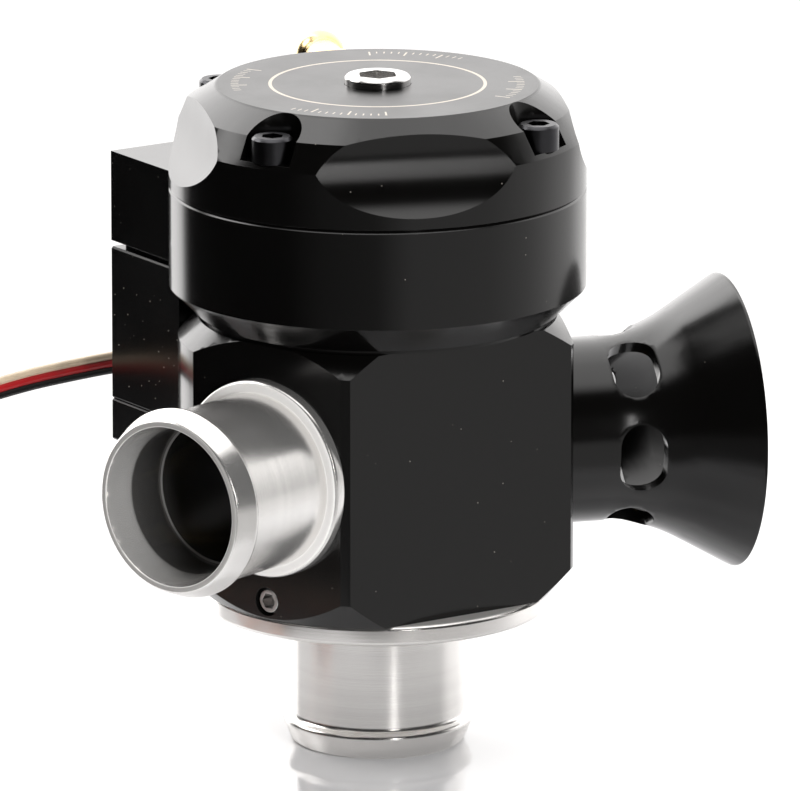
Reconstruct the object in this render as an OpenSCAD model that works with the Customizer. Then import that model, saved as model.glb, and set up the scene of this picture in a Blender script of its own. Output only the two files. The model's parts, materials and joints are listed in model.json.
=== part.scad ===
// Motor-driven blow off valve: a piston valve that vents boost air through a hose
// outlet, a trumpet or both, as a sleeve turned by a small servo shares it out.
// Front is -Y, the actuator stands at +Y, and the hose tube of the base ends at Z = 0.

/* [Hose ends] */
// Outer radius of both hose tubes
hose_r = 12.4; // [12:0.1:13.4]
// Wall of both hose tubes
hose_wall = 2; // [1.4:0.1:2.4]
// Height of the bead that keeps the hose on
bead_h = 1.05; // [0.7:0.05:1.4]
// Radius of the bead's crest, from which a ramp runs to the mouth
bead_round = 0.7; // [0.4:0.1:0.9]
// Distance of the bead's crest from the mouth
bead_pos = 3.1; // [2.4:0.1:5]
// Length of the base tube below its flange
base_len = 19.8; // [16:0.2:30]
// Length of the recirculation tube from the body's flat
recirc_len = 21.6; // [16:0.2:32]
// Widening of the recirculation tube's mouth
mouth_open = 0.9; // [0.3:0.1:1.3]
// Depth over which that mouth narrows to the bore
mouth_taper = 4.5; // [2:0.1:6]

/* [Base adapter] */
// Radius of the base flange
flange_r = 24.4; // [22.5:0.1:27]
// Thickness of the base flange
flange_t = 2.8; // [1.6:0.1:5]
// Radius of the spigot inside the body
spigot_r = 17.4; // [16.6:0.1:17.6]
// Height of the spigot above the flange
spigot_h = 8.4; // [8:0.1:9.2]

/* [Valve body] */
// Radius of the turned body
body_r = 28.3; // [27.6:0.1:29]
// Height of the body up to its neck
body_h = 39.5; // [38:0.5:46]
// Radius of the body at its lower edge
body_edge_r = 24.9; // [23.5:0.1:26]
// Height of the lower bevel
low_bevel = 4; // [3:0.1:6]
// Size of the upper 45 degree bevel
top_bevel = 2.9; // [2:0.1:3.4]
// Distance of the front flat from the axis
flat_front = 21.3; // [20.6:0.1:23]
// Distance of each port's flat from the axis
flat_port = 25; // [24:0.1:26]
// Distance of the back flat from the axis
flat_back = 20.8; // [20.2:0.1:21.6]
// Angle of each port from the front
port_angle = 72; // [66:1:80]
// Height of the port axes above the body's lower face
port_h = 20.6; // [19.5:0.1:22]
// Radius of the port bores
port_r = 12; // [11.6:0.1:12.4]

/* [Recirculation fitting] */
// Radius of the collar on the port's flat
collar_r = 14.1; // [13.6:0.1:16]
// Thickness of the collar
collar_t = 1.9; // [1.2:0.1:3]

/* [Trumpet] */
// Outer radius of the trumpet's neck
trumpet_r = 13.2; // [12.8:0.1:14]
// Wall of the trumpet
trumpet_wall = 1.9; // [1.5:0.1:2.2]
// Radius of the trumpet's rim
rim_r = 21; // [18:0.2:25]
// Straight length of the neck from the flat
neck_len = 6.5; // [5:0.1:9]
// Radius of the curve between neck and cone
flare_r = 24; // [16:0.5:30]
// Half angle of the flared cone
flare_angle = 30; // [22:1:38]
// Number of slots round the trumpet
slot_n = 6; // [3:1:8]
// Width of a slot along the trumpet
slot_w = 6.6; // [4:0.1:8]
// Length of a slot round the trumpet
slot_len = 10; // [8.2:0.1:11]
// Distance of the slots from the flat
slot_pos = 10.4; // [9:0.1:12]
// Turn of the first slot
slot_turn = 7; // [0:1:59]

/* [Head housing] */
// Radius of the head
head_r = 29.5; // [29:0.1:31.5]
// Height of the housing
head_h = 18; // [17.4:0.1:22]
// Size of the bevel below the housing
head_bevel = 3.9; // [2.5:0.1:4.4]
// Height of the groove between body and housing
seam_gap = 0.7; // [0.3:0.1:1.2]
// Height of the actuator block at the housing's back
block_h = 13.1; // [12.6:0.1:14]

/* [Cap] */
// Height of the cap
cap_h = 14.6; // [14:0.1:18]
// Height of the upper bevel
upper_bevel = 2.9; // [2:0.1:3.6]
// Width of the upper bevel
upper_bevel_w = 4.6; // [3.4:0.1:6]
// Height of the lower bevel
lower_bevel = 3.9; // [2.5:0.1:4.4]
// Width of the lower bevel
lower_bevel_w = 2.2; // [1.2:0.1:3.2]
// Number of finger flutes, and of screws between them
flute_n = 4; // [3:1:5]
// Radius of the flute cutter
flute_r = 13; // [11:0.1:16]
// Depth of the flutes below the side of the head
flute_depth = 4.1; // [2.5:0.1:4.7]
// Depth of the flutes' deepest line below the cap's top
flute_drop = 3.4; // [2.6:0.1:4.4]
// Turn of the cap about its axis
cap_turn = -21.5; // [-30:0.5:-15]
// Distance of the screws' axes from the side of the head
screw_inset = 2.7; // [2.4:0.05:2.9]
// Radius of the screw pockets
pocket_r = 4.1; // [3.4:0.1:4.4]
// Depth of the screw pockets below the cap's top
pocket_depth = 6.1; // [5:0.1:7]
// Radius of a cap screw's head
screw_head_r = 2.9; // [2.5:0.1:3.2]
// Height of a cap screw's head
screw_head_h = 3.6; // [2.6:0.1:4]

/* [Adjuster] */
// Radius of the adjuster's head
adjuster_r = 4.7; // [4.4:0.1:6]
// Height of the adjuster's head above the cap
adjuster_proud = 1.3; // [0.4:0.1:2]
// Width across the flats of the adjuster's socket
adjuster_key = 5; // [3:0.5:6]
// Radius of the adjuster's thread
thread_r = 4; // [3:0.1:4.1]

/* [Piston and sleeve] */
// Wall of the turning sleeve
sleeve_wall = 2.9; // [2.4:0.1:3.2]
// Wall of the piston
piston_wall = 1.7; // [1.3:0.1:2.2]
// Thickness of the piston's crown
crown_t = 3; // [2:0.1:4]
// Length of the piston
piston_len = 29; // [27:0.5:30]
// Diameter of the spring wire
wire_d = 2; // [1.4:0.1:2.4]
// Turns of the spring
spring_turns = 7; // [5:0.5:9]

/* [Actuator] */
// Length of the servo's case
servo_l = 40; // [36:0.5:41]
// Width of the servo's case
servo_w = 18; // [17.6:0.1:20]
// Height of the servo's case below its shoulder
servo_h = 28.5; // [26:0.5:32]
// Height of the case's lower cover
cover_h = 6.1; // [4:0.1:8]
// Inset of the spigot on top of the case
servo_inset = 1.5; // [1:0.1:2]

/* [Lead] */
// Outer diameter of the servo's lead
lead_d = 3.3; // [2.6:0.1:3.6]
// Middle radius of the coiled lead
coil_r = 19; // [18:0.5:22]

/* [Hidden] */
$fn = 96;

// Clearances: a running fit, a seated fit, and the reach of cuts past a face
run_gap = 0.05;
fit_gap = 0.1;
thrust_gap = 0.2;
past = 1;
big = 200;

// Heights of the stack
body_z = base_len + flange_t;
port_z = body_z + port_h;
neck_z = body_z + body_h;
head_z = neck_z + seam_gap;
split_z = head_z + head_h;
top_z = split_z + cap_h;
seat_z = body_z + spigot_h;

// Bores of the hose tubes, the sleeve and the piston
hose_bore = hose_r - hose_wall;
edge = 0.4;
bead_steep = 70;
bead_steps = 8;
seat_r = hose_bore + 1.6;
cord_d = 1.18;
groove_depth = 1.2;
groove_w = 1.8;
sleeve_bore = 18.55;
sleeve_r = sleeve_bore - run_gap;
piston_bore = sleeve_r - sleeve_wall;
piston_r = piston_bore - run_gap;

// The set screw that holds the base
set_r = 2;
set_z = body_z + 2.5;
set_tip_in = 0.4;
set_len = flat_port - edge - spigot_r + set_tip_in;
set_key = 2;

// Port fittings
fitting_r = port_r - run_gap;
fitting_depth = 5.2;
fitting_in = flat_port - fitting_depth;
inner_bore = hose_bore - 0.4;
bore_depth = recirc_len / 2;

// Head housing and the cap's plug
neck_r = body_r - top_bevel - 0.8;
joint_r = 21.6;
joint_h = 3;
plug_inset = 5.2;
plug_r = head_r - plug_inset;
chamber_r = 18;
gear_depth = 10.1;
plug_depth = 5.6;
gear_floor_z = split_z - gear_depth;
gear_roof_z = split_z - plug_depth;
plug_z = gear_roof_z + thrust_gap;
roof_t = 7.4;
roof_z = top_z - roof_t;
cap_knee_r = head_r - lower_bevel_w;
cap_top_r = cap_knee_r - upper_bevel_w;
flute_in = head_r - flute_depth;
screw_circle_r = head_r - screw_inset;
relief_angle = 80;

// Actuator: the servo hangs below the block, with its shaft towards one end
servo_y0 = flat_back + fit_gap;
servo_y1 = servo_y0 + servo_w;
block_z = split_z - block_h;
shoulder_gap = 0.9;
servo_spigot = 1.8;
shoulder_z = block_z - shoulder_gap;
servo_z = shoulder_z - servo_h;
spigot_top_z = block_z + servo_spigot;
shaft_y = (servo_y0 + servo_y1) / 2;
gear_module = 0.75;
pinion_teeth = 18;
sleeve_teeth = 66;
gear_distance = gear_module * (sleeve_teeth + pinion_teeth) / 2;
shaft_x = sqrt(pow(gear_distance, 2) - pow(shaft_y, 2));
shaft_turn = atan2(shaft_x, -shaft_y);
shaft_r = 2.9;
shaft_in = 6;
shaft_screw_r = 1.2;
shaft_screw_len = 5;
shaft_head_h = 1.4;
shaft_sink = 1.6;
gear_z = gear_floor_z + thrust_gap;
gear_h = gear_roof_z - gear_z - thrust_gap;
sleeve_pitch_r = gear_module * sleeve_teeth / 2;
pinion_pitch_r = gear_module * pinion_teeth / 2;
tooth_up = 0.95 * gear_module;
tooth_down = 1.25 * gear_module;
gear_room = 0.5;
sleeve_travel = 58;

// Through bolts that clamp the servo to the block
bolt_r = 1.2;
bolt_in = 6;
bolt_inset = 3.2;
bolt_sink = 2;
bolt_head_h = 1.6;
bolt_head_r = 2.1;
small_key = 1.5;

// Cap screws and the barb for the boost signal
shank_r = 1.45;
screw_key = 2.8;
screw_key_depth = 2;
screw_floor_z = gear_roof_z + 0.4;
nipple_z = top_z - flute_drop - 1;
nipple_bore = 1.4;
nipple_neck_r = 2.7;
nipple_barb_r = 3.5;
nipple_out = 17.6;
stem_r = 2.5;

// Spring seat, adjuster and spring
seat_plate_r = 13;
seat_plate_t = 3;
seat_travel = 2.5;
seat_room = 4.4;
seat_rest_z = roof_z - seat_plate_t - seat_travel - seat_room;
clip_t = 0.9;
clip_bite = 0.6;
adjuster_seat = 3;
adjuster_groove = 5;
adjuster_key_depth = 2.6;
boss_h = 2;
clip_z = roof_z - clip_t - fit_gap;
adjuster_end_z = seat_rest_z - seat_travel - boss_h;
piston_z = seat_z;
spring_z0 = piston_z + crown_t + run_gap;
spring_z1 = seat_rest_z - run_gap;
spring_mid_r = seat_plate_r - wire_d / 2 - 1;
coil_facets = 16;
flare_steps = 8;
slot_steps = 16;
tube_sides = 8;

// Route of the servo's lead, from its grommet to the coil on the floor
grommet_x = -3;
grommet_up = 7.7;
grommet_z = servo_z + grommet_up;
grommet_flare = 1.2;
grommet_lip = 0.5;
grommet_len = 4;
lead_exit_y = servo_y1 + grommet_len;
coil_x = -84;
coil_y = 22;
tie_t = 0.6;
floor_gap = 0.05;
lead_z = lead_d / 2 + tie_t + floor_gap;
lead_t = 1.2;
lead_route = [
    [grommet_x, lead_exit_y, grommet_z], [-3, 45, 46], [-4.4, 48.2, 46], [-7.6, 50.6, 46],
    [-12, 51.4, 46], [-20, 51.2, 45.8], [-28, 50.8, 45.4], [-36, 50.2, 44.4],
    [-43, 49.4, 41.8], [-48.6, 48.4, 37], [-52.4, 47.4, 30.6], [-55.4, 46.4, 23.4],
    [-58.6, 45.2, 16], [-62.6, 43.8, 9.2], [-68, 42.4, 4.4], [-75, 41.4, 2.7], [coil_x, 41, lead_z]
];
tail_x = coil_x - coil_r - lead_t;
tail_len = 17;
plug_z_mid = lead_d / 2 + floor_gap;
tail_route = [[tail_x, coil_y, lead_z], [tail_x, coil_y - tail_len / 4, lead_z],
    [tail_x, coil_y - tail_len * 0.6, plug_z_mid], [tail_x, coil_y - tail_len * 0.8, plug_z_mid],
    [tail_x, coil_y - tail_len, plug_z_mid]];
connector_l = 14;
connector_w = 7.6;
connector_t = 3;
contact_pitch = 2.54;
contact_w = 1.1;
contact_depth = 6;

// Points of an arc about a centre, from one angle to another
function arc(centre, r, from, to, steps) = [
    for (i = [0:steps])
        let (a = from + (to - from) * i / steps)
        centre + r * [cos(a), sin(a)]
];

function unit(v) = v / norm(v);

// Direction of a route at one of its points
function heading(route, i) =
    unit(route[min(i + 1, len(route) - 1)] - route[max(i - 1, 0)]);

// One ring of points round a route
function route_ring(route, i, r, sides) =
    let (
        ahead = heading(route, i),
        across = unit(cross(ahead, abs(ahead[2]) > 0.98 ? [0, 1, 0] : [0, 0, 1])),
        up = cross(across, ahead)
    )
    [for (k = [0:sides - 1])
        let (a = 360 * k / sides)
        route[i] + r * (cos(a) * across + sin(a) * up)];

// A round tube swept along a route, closed at both ends
module swept_tube(route, r, sides) {
    n = len(route);
    rings = [for (i = [0:n - 1]) each route_ring(route, i, r, sides)];
    walls = [
        for (i = [0:n - 2])
            for (k = [0:sides - 1])
                let (next = (k + 1) % sides)
                [i * sides + k, i * sides + next, (i + 1) * sides + next, (i + 1) * sides + k]
    ];
    first = [[for (k = [0:sides - 1]) sides - 1 - k]];
    last = [[for (k = [0:sides - 1]) (n - 1) * sides + k]];
    polyhedron(points = rings, faces = concat(walls, first, last));
}

// Points a shape built along +Z out from the valve's axis, at an angle from the front and a height
module facing(turn, z) {
    translate([0, 0, z])
        rotate([0, 0, turn])
            rotate([90, 0, 0])
                children();
}

// Section of a hose tube that hangs down from its root to its mouth
module hose_section(length) {
    crest = [hose_r + bead_h - bead_round, bead_pos - length];
    ramp = atan(bead_h / (bead_pos - edge));
    sweep_r = bead_h / (1 - cos(bead_steep)) - bead_round;
    sweep = crest + (bead_round + sweep_r) * [cos(bead_steep), sin(bead_steep)];
    polygon(concat([[hose_bore, -length], [hose_r - edge, -length], [hose_r, edge - length]],
        arc(crest, bead_round, -ramp, bead_steep, bead_steps),
        arc(sweep, sweep_r, bead_steep - 180, -180, bead_steps),
        [[hose_r, 0], [hose_bore, 0]]));
}

// Taper that opens a hose tube's mouth
module mouth_cut(length) {
    slope = mouth_open / mouth_taper;
    translate([0, 0, -length - past])
        cylinder(h = mouth_taper + 2 * past, r1 = hose_bore + mouth_open + slope * past, r2 = hose_bore - slope * past);
}

// Ring seal with its middle at a radius
module seal(middle_r) {
    rotate_extrude()
        translate([middle_r, 0])
            circle(d = cord_d, $fn = 32);
}

// Groove for a ring seal, cut into a spigot
module seal_groove(outer_r) {
    rotate_extrude()
        translate([outer_r - groove_depth, -groove_w / 2])
            square([groove_depth + past, groove_w]);
}

module base_adapter() {
    color("gainsboro")
        difference() {
            union() {
                translate([0, 0, base_len])
                    rotate_extrude()
                        hose_section(base_len);
                translate([0, 0, base_len])
                    rotate_extrude()
                        polygon([[hose_bore, 0], [flange_r - edge, 0], [flange_r, edge],
                            [flange_r, flange_t - edge], [flange_r - edge, flange_t],
                            [spigot_r, flange_t], [spigot_r, flange_t + spigot_h],
                            [seat_r, flange_t + spigot_h]]);
            }
            translate([0, 0, set_z])
                tip_groove();
            translate([0, 0, seat_z - groove_w])
                seal_groove(spigot_r);
        }
}

// Groove that the set screw's tip seats in
module tip_groove() {
    rotate_extrude()
        translate([spigot_r - groove_depth, -set_r])
            square([groove_depth + past, 2 * set_r]);
}

module base_oring() {
    color("black")
        translate([0, 0, seat_z - groove_w])
            seal(spigot_r - groove_depth + cord_d / 2 + run_gap / 2);
}

module valve_body() {
    color("dimgray")
        difference() {
            translate([0, 0, body_z])
                rotate_extrude()
                    polygon([[spigot_r + run_gap, 0], [body_edge_r, 0], [body_r, low_bevel],
                        [body_r, body_h - top_bevel], [body_r - top_bevel, body_h], [neck_r, body_h],
                        [neck_r, body_h + seam_gap], [joint_r, body_h + seam_gap],
                        [joint_r, body_h + seam_gap + joint_h], [sleeve_bore, body_h + seam_gap + joint_h],
                        [sleeve_bore, spigot_h + fit_gap], [spigot_r + run_gap, spigot_h + fit_gap]]);
            translate([-big / 2, -flat_front - big, 0])
                cube([big, big, neck_z]);
            translate([-big / 2, flat_back, 0])
                cube([big, big, big]);
            for (side = [-1, 1]) {
                rotate([0, 0, side * port_angle])
                    translate([-big / 2, -flat_port - big, 0])
                        cube([big, big, neck_z]);
                facing(side * port_angle, port_z)
                    translate([0, 0, sleeve_bore / 2])
                        cylinder(h = big, r = port_r);
            }
            facing(-port_angle, set_z)
                translate([0, 0, spigot_r - past])
                    cylinder(h = big, r = set_r + run_gap);
        }
}

module set_screw() {
    color("silver")
        facing(-port_angle, set_z)
            translate([0, 0, flat_port - set_len - edge])
                difference() {
                    union() {
                        cylinder(h = edge, r1 = set_r - edge, r2 = set_r);
                        translate([0, 0, edge])
                            cylinder(h = set_len - 2 * edge, r = set_r);
                        translate([0, 0, set_len - edge])
                            cylinder(h = edge, r1 = set_r, r2 = set_r - edge);
                    }
                    translate([0, 0, set_len - set_key])
                        cylinder(h = set_key + past, r = set_key / sqrt(3), $fn = 6);
                }
}

module recirc_fitting() {
    bore_end = flat_port + recirc_len - bore_depth;
    color("gainsboro")
        facing(-port_angle, port_z)
            difference() {
                union() {
                    translate([0, 0, flat_port])
                        mirror([0, 0, 1])
                            rotate_extrude()
                                hose_section(recirc_len);
                    rotate_extrude()
                        polygon([[inner_bore, fitting_in], [fitting_r, fitting_in], [fitting_r, flat_port],
                            [collar_r, flat_port], [collar_r, flat_port + collar_t - edge],
                            [collar_r - edge, flat_port + collar_t], [hose_r - edge, flat_port + collar_t],
                            [hose_r - edge, bore_end], [inner_bore, bore_end]]);
                }
                translate([0, 0, flat_port])
                    mirror([0, 0, 1])
                        mouth_cut(recirc_len);
                translate([0, 0, flat_port - groove_w])
                    seal_groove(fitting_r);
            }
}

module recirc_oring() {
    color("black")
        facing(-port_angle, port_z)
            translate([0, 0, flat_port - groove_w])
                seal(fitting_r - groove_depth + cord_d / 2 + run_gap / 2);
}

// Round-ended cutter for the trumpet's slots, long across the axis
module slot_cutter(width, length, height) {
    reach = (length - width) / 2;
    linear_extrude(height)
        polygon(concat(arc([0, reach], width / 2, 0, 180, slot_steps),
            arc([0, -reach], width / 2, 180, 360, slot_steps)));
}

module trumpet() {
    flare_z = flat_port + neck_len;
    flare_centre = [trumpet_r + flare_r, flare_z];
    inner_r = flare_r + trumpet_wall;
    curve_r = trumpet_r + flare_r * (1 - cos(flare_angle));
    curve_z = flare_z + flare_r * sin(flare_angle);
    rim_z = curve_z + (rim_r - curve_r) / tan(flare_angle);
    lip = trumpet_wall / cos(flare_angle);
    throat_r = trumpet_r - trumpet_wall;
    color("dimgray")
        facing(port_angle, port_z)
            difference() {
                rotate_extrude()
                    polygon(concat(
                        [[inner_bore, fitting_in], [fitting_r, fitting_in], [fitting_r, flat_port],
                            [trumpet_r, flat_port]],
                        arc(flare_centre, flare_r, 180, 180 - flare_angle, flare_steps),
                        [[rim_r - edge / 2, rim_z - edge], [rim_r, rim_z], [rim_r - lip, rim_z]],
                        arc(flare_centre, inner_r, 180 - flare_angle, 180, flare_steps),
                        [[throat_r, flat_port + past], [inner_bore, flat_port]]));
                translate([0, 0, flat_port - groove_w])
                    seal_groove(fitting_r);
                for (i = [0:slot_n - 1])
                    translate([0, 0, flat_port + slot_pos])
                        rotate([0, 0, slot_turn + i * 360 / slot_n])
                            rotate([0, 90, 0])
                                translate([0, 0, throat_r - past])
                                    slot_cutter(slot_w, slot_len, rim_r - throat_r);
            }
}

module trumpet_oring() {
    color("black")
        facing(port_angle, port_z)
            translate([0, 0, flat_port - groove_w])
                seal(fitting_r - groove_depth + cord_d / 2 + run_gap / 2);
}

// One straight-flanked tooth, pointing along +X from the gear's centre
module tooth(pitch_r, teeth) {
    step = 360 / teeth;
    root = pitch_r - tooth_down - 0.3;
    tip = pitch_r + tooth_up;
    polygon([
        root * [cos(0.29 * step), -sin(0.29 * step)], pitch_r * [cos(0.2 * step), -sin(0.2 * step)],
        tip * [cos(0.09 * step), -sin(0.09 * step)], tip * [cos(0.09 * step), sin(0.09 * step)],
        pitch_r * [cos(0.2 * step), sin(0.2 * step)], root * [cos(0.29 * step), sin(0.29 * step)]]);
}

// The sleeve's window is open to the hose outlet at rest and to the trumpet after a turn
module bias_sleeve() {
    step = 360 / sleeve_teeth;
    root_r = sleeve_pitch_r - tooth_down;
    margin = 1.5;
    first = -ceil(sleeve_travel / step + margin);
    window_r = sleeve_r * sin(sleeve_travel / 2 - 5);
    window_reach = 2.4;
    sleeve_z = seat_z + fit_gap + run_gap;
    color("darkgoldenrod")
        difference() {
            union() {
                translate([0, 0, sleeve_z])
                    cylinder(h = gear_z - sleeve_z + past, r = sleeve_r);
                translate([0, 0, gear_z])
                    linear_extrude(gear_h) {
                        circle(root_r);
                        for (k = [first:margin])
                            rotate(shaft_turn - 90 + (k + 0.5) * step)
                                tooth(sleeve_pitch_r, sleeve_teeth);
                    }
            }
            translate([0, 0, sleeve_z - past])
                cylinder(h = big, r = piston_bore);
            for (turn = [-port_angle, port_angle - sleeve_travel])
                facing(turn, port_z)
                    translate([0, 0, piston_bore - 2 * past])
                        slot_cutter(2 * window_r, 2 * (window_r + window_reach), big);
        }
}

module piston() {
    ring_z = piston_len - 4;
    lead_in = 1.6;
    color("lightsteelblue")
        translate([0, 0, piston_z])
            difference() {
                rotate_extrude()
                    polygon([[0, 0], [piston_r - lead_in, 0], [piston_r, lead_in], [piston_r, piston_len],
                        [piston_r - piston_wall, piston_len], [piston_r - piston_wall, crown_t],
                        [0, crown_t]]);
                translate([0, 0, ring_z])
                    rotate_extrude()
                        translate([piston_r - piston_wall / 2, -groove_w / 2])
                            square([piston_wall, groove_w]);
            }
}

module piston_ring() {
    color("black")
        translate([0, 0, piston_z + piston_len - 4])
            rotate_extrude()
                translate([piston_r - piston_wall / 2 + run_gap / 2, -groove_w / 2 + run_gap])
                    square([piston_wall / 2, groove_w - 2 * run_gap]);
}

// Closed end turns, with the free turns spread evenly between them
module valve_spring() {
    rise = spring_z1 - spring_z0 - wire_d;
    free = spring_turns - 2;
    steps = spring_turns * coil_facets;
    route = [
        for (i = [0:steps])
            let (
                turn = i / coil_facets,
                low = min(turn, 1) * wire_d,
                high = max(turn - spring_turns + 1, 0) * wire_d,
                open = min(max(turn - 1, 0), free) / free * (rise - 2 * wire_d)
            )
            [spring_mid_r * cos(360 * turn), spring_mid_r * sin(360 * turn),
                spring_z0 + wire_d / 2 + low + open + high]
    ];
    color("silver")
        swept_tube(route, wire_d / 2, tube_sides);
}

// Plate that rides on the adjuster's thread, kept from turning by two keys
module spring_seat() {
    key_w = 4;
    color("darkgoldenrod")
        translate([0, 0, seat_rest_z])
            difference() {
                union() {
                    cylinder(h = seat_plate_t, r = seat_plate_r);
                    translate([-chamber_r - 1, -key_w / 2, 0])
                        cube([2 * (chamber_r + 1), key_w, seat_plate_t]);
                    translate([0, 0, -boss_h])
                        cylinder(h = boss_h + past, r = thread_r + seat_plate_t);
                }
                translate([0, 0, -big / 2])
                    cylinder(h = big, r = thread_r + run_gap);
            }
}

module adjuster_screw() {
    head_z0 = roof_z + adjuster_seat;
    head_top = top_z + adjuster_proud;
    color("whitesmoke")
        difference() {
            union() {
                translate([0, 0, adjuster_end_z])
                    cylinder(h = head_z0 - adjuster_end_z, r = thread_r);
                translate([0, 0, head_z0])
                    cylinder(h = head_top - head_z0 - edge, r = adjuster_r);
                translate([0, 0, head_top - edge])
                    cylinder(h = edge, r1 = adjuster_r, r2 = adjuster_r - edge);
            }
            translate([0, 0, head_top - adjuster_key_depth])
                cylinder(h = adjuster_key_depth + past, r = adjuster_key / sqrt(3), $fn = 6);
            translate([0, 0, clip_z])
                rotate_extrude()
                    translate([thread_r - clip_bite, -run_gap])
                        square([past, clip_t + 2 * run_gap]);
            translate([0, 0, roof_z + adjuster_groove])
                seal_groove(adjuster_r);
        }
}

module adjuster_clip() {
    color("dimgray")
        translate([0, 0, clip_z])
            difference() {
                cylinder(h = clip_t, r = thread_r + 2);
                translate([0, 0, -past])
                    cylinder(h = clip_t + 2 * past, r = thread_r - clip_bite + run_gap);
                translate([0, -1.2, -past])
                    cube([big, 2.4, clip_t + 2 * past]);
            }
}

module adjuster_oring() {
    color("black")
        translate([0, 0, roof_z + adjuster_groove])
            seal(adjuster_r - groove_depth + cord_d / 2 + run_gap / 2);
}

// Ring over the body and block for the actuator, bored for the sleeve and its gears
module head_housing() {
    color("dimgray")
        difference() {
            union() {
                translate([0, 0, head_z])
                    rotate_extrude()
                        polygon([[sleeve_bore, 0], [head_r - head_bevel, 0], [head_r, head_bevel],
                            [head_r, head_h - edge], [head_r - edge, head_h], [sleeve_bore, head_h]]);
                translate([-servo_l / 2, sleeve_bore, block_z])
                    cube([servo_l, servo_y1 - sleeve_bore, block_h]);
            }
            translate([0, 0, head_z - past])
                cylinder(h = joint_h + past + fit_gap, r = joint_r + run_gap);
            translate([-big / 2, servo_y0 - fit_gap, 0])
                cube([big, big, block_z]);
            translate([servo_inset - servo_l / 2 - fit_gap, servo_y0 + servo_inset - fit_gap, block_z - past])
                cube([servo_l - 2 * (servo_inset - fit_gap), servo_w - 2 * (servo_inset - fit_gap),
                    spigot_top_z - block_z + past + fit_gap]);
            translate([0, 0, gear_floor_z])
                cylinder(h = gear_roof_z - gear_floor_z, r = sleeve_pitch_r + tooth_up + gear_room);
            translate([0, 0, gear_floor_z])
                cylinder(h = big, r = plug_r + run_gap);
            translate([shaft_x, shaft_y, block_z])
                cylinder(h = gear_roof_z - block_z, r = pinion_pitch_r + tooth_up + gear_room);
            translate([0, 0, gear_floor_z + past])
                rotate([0, 0, cap_turn - 90 - relief_angle / 2])
                    rotate_extrude(angle = relief_angle)
                        translate([plug_r - past, 0])
                            square([sleeve_pitch_r + tooth_up + gear_room / 2 - plug_r + past, big]);
            for (i = [0:flute_n - 1])
                rotate([0, 0, cap_turn + (i + 0.5) * 360 / flute_n])
                    translate([0, -screw_circle_r, screw_floor_z])
                        cylinder(h = big, r = shank_r + run_gap);
            bolt_places()
                translate([0, 0, block_z - past])
                    cylinder(h = bolt_in + past, r = bolt_r + run_gap);
        }
}

module head_cap() {
    color("dimgray")
        difference() {
            union() {
                translate([0, 0, split_z])
                    rotate_extrude()
                        polygon([[0, 0], [head_r - edge / 2, 0], [head_r, edge / 2],
                            [head_r, cap_h - upper_bevel - lower_bevel],
                            [cap_knee_r, cap_h - upper_bevel], [cap_top_r, cap_h], [0, cap_h]]);
                translate([0, 0, plug_z])
                    cylinder(h = split_z - plug_z + past, r = plug_r);
            }
            translate([0, 0, plug_z - past])
                cylinder(h = roof_z - plug_z + past, r = chamber_r);
            translate([-chamber_r - 1.5, -2.2, plug_z - past])
                cube([2 * chamber_r + 3, 4.4, roof_z - plug_z + past]);
            cylinder(h = big, r = thread_r + run_gap);
            translate([0, 0, roof_z + adjuster_seat - run_gap])
                cylinder(h = big, r = adjuster_r + run_gap);
            translate([0, 0, (plug_z + split_z) / 2])
                seal_groove(plug_r);
            for (i = [0:flute_n - 1]) {
                rotate([0, 0, cap_turn + i * 360 / flute_n])
                    translate([-big / 2, -flute_in - flute_r, top_z - flute_drop])
                        rotate([0, 90, 0])
                            cylinder(h = big, r = flute_r);
                rotate([0, 0, cap_turn + (i + 0.5) * 360 / flute_n])
                    screw_pocket();
            }
            facing(cap_turn + 180, nipple_z) {
                translate([0, 0, chamber_r - 4])
                    cylinder(h = big, r = stem_r + run_gap);
            }
            rotate([0, 0, cap_turn + 180])
                translate([0, 2.4 - chamber_r, roof_z - past])
                    cylinder(h = nipple_z - roof_z + past, r = nipple_bore);
        }
}

// Pocket for a cap screw, open to the side of the cap
module screw_pocket() {
    floor_z = top_z - pocket_depth;
    translate([0, -screw_circle_r, floor_z])
        cylinder(h = big, r = pocket_r);
    translate([-pocket_r, -screw_circle_r - big, floor_z])
        cube([2 * pocket_r, big, big]);
    translate([0, -screw_circle_r, 0])
        cylinder(h = big, r = shank_r + run_gap);
}

module cap_oring() {
    color("black")
        translate([0, 0, (plug_z + split_z) / 2])
            seal(plug_r - groove_depth + cord_d / 2 + run_gap / 2);
}

module cap_screws() {
    head_z0 = top_z - pocket_depth;
    tip_z = screw_floor_z + thrust_gap;
    color("slategray")
        for (i = [0:flute_n - 1])
            rotate([0, 0, cap_turn + (i + 0.5) * 360 / flute_n])
                translate([0, -screw_circle_r, 0])
                    difference() {
                        union() {
                            translate([0, 0, tip_z])
                                cylinder(h = head_z0 - tip_z, r = shank_r);
                            translate([0, 0, head_z0])
                                cylinder(h = screw_head_h - edge, r = screw_head_r);
                            translate([0, 0, head_z0 + screw_head_h - edge])
                                cylinder(h = edge, r1 = screw_head_r, r2 = screw_head_r - edge);
                        }
                        translate([0, 0, head_z0 + screw_head_h - screw_key_depth])
                            cylinder(h = screw_key_depth + past, r = screw_key / sqrt(3), $fn = 6);
                    }
}

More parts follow.
